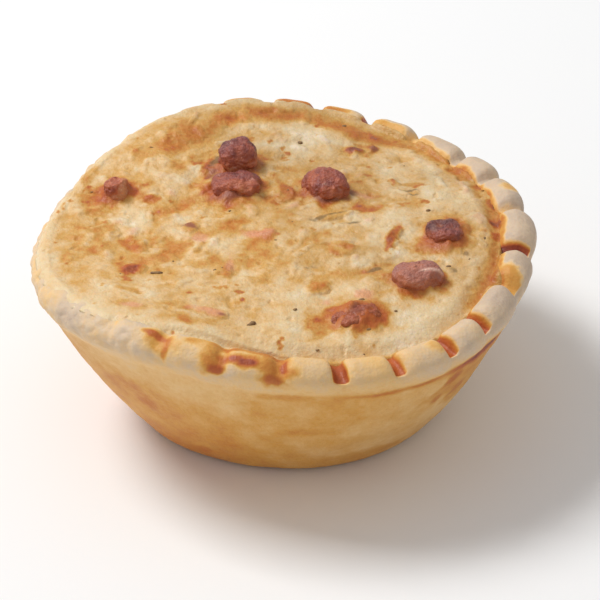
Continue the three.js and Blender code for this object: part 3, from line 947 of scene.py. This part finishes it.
def edge_bake(bake, points, angle, inset, ragged):
    """Adds a golden band along the back, an orange-brown line along the rim on the right, and an edge that is
    golden where it shows and pale where it has merged. Returns the line's share too."""
    turn = np.degrees(angle)
    from_band = inset - round_rim(angle, GOLDEN_BAND) + 1.6 * ragged
    band = hump(np.where(from_band > 0, from_band, 0.45 * from_band), 2) * between(turn, *BACK_BAND)
    bake = browned(bake, 0.61 + 0.24 * ragged, band)
    at_right = 1 - smoothstep(np.abs(turn + 3), 30, 44)
    broken = smoothstep(grain(points, 3.2, 28, 3), -0.6, 0.2)
    line = hump(inset - 6 + 1.8 * ragged, 1.5) * at_right * broken
    bake = browned(bake, 0.64 + 0.5 * ragged, line)
    merged = round_rim(angle, MERGED)
    rim_gold = smoothstep(RIM_WIDTH + 0.6 - inset + 2 * ragged, 0, 1.2) * (1 - merged)
    bake = browned(bake, 0.46, rim_gold)
    close_to_edge = smoothstep(custard_edge(angle) + 4.5 - inset + 3 * ragged, 0, 4) * merged
    return lerp(bake, 0.17 + 0.3 * (bake - 0.25), close_to_edge), line


def custard_relief(flat, turn, radius):
    """The relief of the cheese, its shreds, curds and pits, calmer at the front, and the shreds' tone."""
    x, y, _ = flat.T
    shreds, tone = shred_field(x, y)
    across = 0.22 * grain(polar(SWIRL_RADIUS, turn, radius), 2.4, 12, 3)
    curds = across * smoothstep(radius, 6, 16) + 0.2 * grain(flat, 1.8, 13, 4) + 0.15
    pits = 0.25 * smoothstep(grain(flat, 1.5, 14), 0.6, 0.9)
    calm = 1 - 0.6 * smoothstep(-y, 10, 24)
    return (shreds + curds) * calm - pits, tone


def custard_fill(flat, turn, to_rim):
    """Height of the filling: the part's, up to the crown where the two have merged, and climbing the ham."""
    x, y, _ = flat.T
    merged = round_rim(turn, MERGED) * smoothstep(to_rim, 0.66, 0.88)
    fill = lerp(custard_top(x, y), crown_height(turn) + MERGED_LIFT, merged)
    climb = 0.8 + 1.1 * grain(flat, 1.6, 16, 2)
    for ham_x, ham_y, length, width, *_ in HAM:
        away = np.hypot(x - ham_x, y - ham_y) / (0.27 * (length + width))
        fill += climb * np.exp(-(away**4))
    return fill


def over_rim(z, share, turn, inset, relief):
    """The custard's height, with its edge laid over the rim as a skin that ends in the pastry."""
    merged = round_rim(turn, MERGED)
    from_edge = smoothstep(1 - share, 0, 0.04)
    over = rim_surface(turn, np.clip(inset, 0.35, RIM_WIDTH)) + lerp(0.5, 0.9, merged) * relief * from_edge
    parted_skin = 0.5 * smoothstep(1 - share, 0, 0.025) - 0.2
    merged_skin = 0.2 * smoothstep(1 - share, 0, 0.06) - 0.12
    on_rim = smoothstep(RIM_WIDTH + 0.6 - inset, 0, 1)
    z = lerp(z, np.maximum(z, over + lerp(parted_skin, merged_skin, merged)), on_rim)
    at_edge = smoothstep(1 - share, lerp(0.012, 0.05, merged), 0)
    return lerp(z, over - lerp(0.3, 0.12, merged), at_edge * on_rim)


def closed_below(points, faces, around):
    """The disc of custard with a wall down from its edge, inside the case, and a flat base."""
    count = len(around)
    upper = len(points) - count
    j, after = np.arange(count), (np.arange(count) + 1) % count
    for height in (crown_height(around) - WALL_START, *SIDE_HEIGHTS):
        lower = len(points)
        height = np.broadcast_to(height, count)
        side = inner_radius(around, height) - GAP
        points = np.vstack([points, polar(side, around, height)])
        faces = np.vstack([faces, np.stack([lower + j, lower + after, upper + after], -1)])
        faces = np.vstack([faces, np.stack([lower + j, upper + after, upper + j], -1)])
        upper = lower
    faces = np.vstack([faces, np.stack([np.full(count, len(points)), upper + after, upper + j], -1)])
    return np.vstack([points, (0, 0, SIDE_HEIGHTS[-1])]), faces


def build_custard(material):
    """Makes the custard, and returns the points of its surface."""
    share, turn, faces = disc(FILL_RINGS)
    rim = outline(turn)
    r = share * (rim - custard_edge(turn))
    x, y = r * np.cos(turn), r * np.sin(turn)
    flat = np.stack([x, y, np.zeros(len(x))], -1)
    relief, tone = custard_relief(flat, turn, r)
    z = custard_fill(flat, turn, r / rim) - RELIEF_SINK + relief
    scrap_height, scraps = scrap_field(x, y)
    z = lerp(z, np.maximum(z, scrap_height + relief - SCRAP_SINK), SCRAP_SHARE)
    z = over_rim(z, share, turn, rim - r, relief)
    surface = np.stack([x, y, z], -1)
    fields = custard_fields(surface, relief, tone, scraps)
    points, faces = closed_below(surface, faces, turn[-6 * FILL_RINGS:])
    hidden = np.zeros(len(points) - len(x))
    fields = {name: np.append(values, hidden) for name, values in fields.items()}
    piece = piece_from("custard_baked", points, faces, material, fields)
    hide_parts("custard")
    return surface


def ball(subdivisions):
    """Points and triangles of a unit ball of even triangles."""
    made = bmesh.new()
    bmesh.ops.create_icosphere(made, subdivisions=subdivisions, radius=1)
    made.verts.index_update()
    points = np.array([vertex.co for vertex in made.verts])
    faces = np.array([[vertex.index for vertex in face.verts] for face in made.faces])
    made.free()
    return points / np.linalg.norm(points, axis=1, keepdims=True), faces


def lump(sphere, shape, lift, seed):
    """A cooked lump, a ball pushed out towards a box and dented: in its own axes, and in place."""
    x, y, length, width, height, turn = shape
    u, v, w = sphere.T
    boxy = (np.abs(sphere) ** 3).sum(1) ** (-1 / 3)
    dent = 1 + 0.22 * (noise(1.7 * u + 1.3 * w + 5 * seed, 1.7 * v - 1.1 * w) - 0.5)
    local = sphere * (boxy * dent)[:, None] * np.array([length, width, height]) / 2
    c, s = math.cos(math.radians(turn)), math.sin(math.radians(turn))
    turned = np.stack([local[:, 0] * c - local[:, 1] * s, local[:, 0] * s + local[:, 1] * c, local[:, 2]], -1)
    middle = custard_top(np.array([x]), np.array([y]))[0] + lift
    return local, turned + (x, y, middle)


def ham_fields(i, place, points, folds, crumbs):
    """What is painted on a piece of ham: how far it is roasted, its fat with one painted highlight, and the
    cheese crust round its foot.
    The place runs from -1 to 1 along, across and up the piece."""
    u, v, w = place.T
    bake = 0.69 + 0.22 * v + 0.24 * crumbs - 0.16 * folds + 0.25 * grain(points, 3, 50 + i, 2)
    bake -= 0.3 * smoothstep(w, 0.35, -0.2)
    fat_and_highlight = 0.4 * smoothstep(grain(points, 0.8, 55 + i, 3), 0.3, 0.8)
    above = points[:, 2] - custard_top(points[:, 0], points[:, 1])
    crust = 0.8 * smoothstep(above + 0.8 * crumbs, 1.5, 0.4)
    further, fat_share, crust_share = HAM_LOOKS[i]
    bake += further
    if i == PALE_BEHIND:
        bake -= 0.3 * smoothstep(v, -0.3, 0.7)
    fat_and_highlight *= fat_share
    # On this piece the pale line along the front is part fat, part painted highlight
    if i == STREAKED_WITH_FAT_AND_HIGHLIGHT:
        fat_and_highlight_streak = hump(v + 0.45 + 0.15 * u, 0.12) * smoothstep(w, 0.2, 0.5) * smoothstep(u, -0.2, 0.2)
        fat_and_highlight = np.maximum(fat_and_highlight + 0.2, fat_and_highlight_streak)
    return {"bake": bake, "fat_and_highlight": fat_and_highlight, "crust": crust * crust_share}


def build_ham(material):
    sphere, faces = ball(6)
    for i, (*shape, lift) in enumerate(HAM):
        local, points = lump(sphere, shape, lift, i)
        folds = 1 - 2 * np.abs(grain(points, 2.2, 30 + i, 4))
        crumbs = grain(points, 1, 40 + i, 4)
        relief = 0.3 * folds + 0.26 * crumbs - 0.27
        points = points + normals_of(points, faces) * relief[:, None]
        half = np.array(shape[2:5]) / 2
        fields = ham_fields(i, local / half, points, folds, crumbs)
        piece = piece_from(f"ham_{i + 1}_roasted", points, faces, material, fields)
        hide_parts(f"ham_{i + 1}")


def build_specks(material, surface):
    sphere, faces = ball(2)
    draw = np.random.default_rng(3)
    rows = list(SPECKS)
    for _ in range(SCATTERED_SPECKS):
        middle = random_place(draw, SPECK_REACH)
        size = draw.uniform(0.25, 0.45)
        rows.append((*middle, size, 0.8 * size, draw.uniform(0, 180)))
    all_points, all_faces = [], []
    for i, (x, y, length, width, turn) in enumerate(rows):
        height = 0.6 * width
        _, points = lump(sphere, (x, y, 0.85 * length, 0.85 * width, height, turn), 0, i + 3)
        middle = points.mean(0)
        points = middle + (points - middle) * (1 + 0.7 * grain(points, 0.5, i, 1))[:, None]
        nearest = surface[np.argmin(np.hypot(surface[:, 0] - x, surface[:, 1] - y))]
        points[:, 2] += nearest[2] - custard_top(np.array([x]), np.array([y]))[0] - 0.1 * height
        all_points.append(points)
        all_faces.append(faces + len(sphere) * i)
    piece_from("pepper_specks", np.vstack(all_points), np.vstack(all_faces), material, {})


def build_stage():
    mesh = bpy.data.meshes.new("floor")
    half = FLOOR_HALF_WIDTH
    corners = [(-half, -half, 0), (half, -half, 0), (half, half, 0), (-half, half, 0)]
    mesh.from_pydata(corners, [], [(0, 1, 2, 3)])
    mesh.materials.append(floor_material())
    floor = add_object("floor", mesh)


def build_lights():
    """A white studio, and a square softbox above the quiche, on the left and a little behind."""
    world = bpy.data.worlds.new("studio")
    world.use_nodes = True
    background = world.node_tree.nodes["Background"].inputs
    background["Color"].default_value = (1, 1, 1, 1)
    background["Strength"].default_value = WORLD_STRENGTH
    bpy.context.scene.world = world
    light = bpy.data.lights.new("key", "AREA")
    light.size = KEY_SIZE
    light.energy = KEY_POWER
    lamp = add_object("key", light)
    lamp.location = KEY_PLACE
    lamp.rotation_mode = "QUATERNION"
    lamp.rotation_quaternion = (Vector(KEY_PLACE) - Vector(KEY_AIM)).to_track_quat("Z", "Y")
    bpy.context.scene.view_settings.view_transform = "Standard"


def build_camera():
    """A long lens from the front, looking down on the quiche, turned a little about its line of sight."""
    elevation, roll = math.radians(CAMERA_ELEVATION), math.radians(CAMERA_ROLL)
    back = Vector((0, -math.cos(elevation), math.sin(elevation)))
    level_up = Vector((0, math.sin(elevation), math.cos(elevation)))
    right = math.cos(roll) * Vector((1, 0, 0)) - math.sin(roll) * level_up
    up = math.sin(roll) * Vector((1, 0, 0)) + math.cos(roll) * level_up
    target = Vector((0, 0, TARGET_HEIGHT * MM))
    place = target + CAMERA_DISTANCE * MM * back
    aim = target + AIM_RIGHT * MM * right + AIM_UP * MM * up
    towards = (place - aim).normalized()
    across = up.cross(towards).normalized()
    upright = towards.cross(across)
    data = bpy.data.cameras.new("camera")
    data.sensor_width = SENSOR
    data.lens = LENS
    data.clip_start, data.clip_end = 0.01, 20
    camera = add_object("camera", data)
    camera.matrix_world = Matrix.Translation(place) @ Matrix((across, upright, towards)).transposed().to_4x4()
    bpy.context.scene.camera = camera


build_stage()
build_lights()
build_camera()
build_case(pastry_material())
surface = build_custard(custard_material())
build_ham(ham_material())
build_specks(speck_material(), surface)
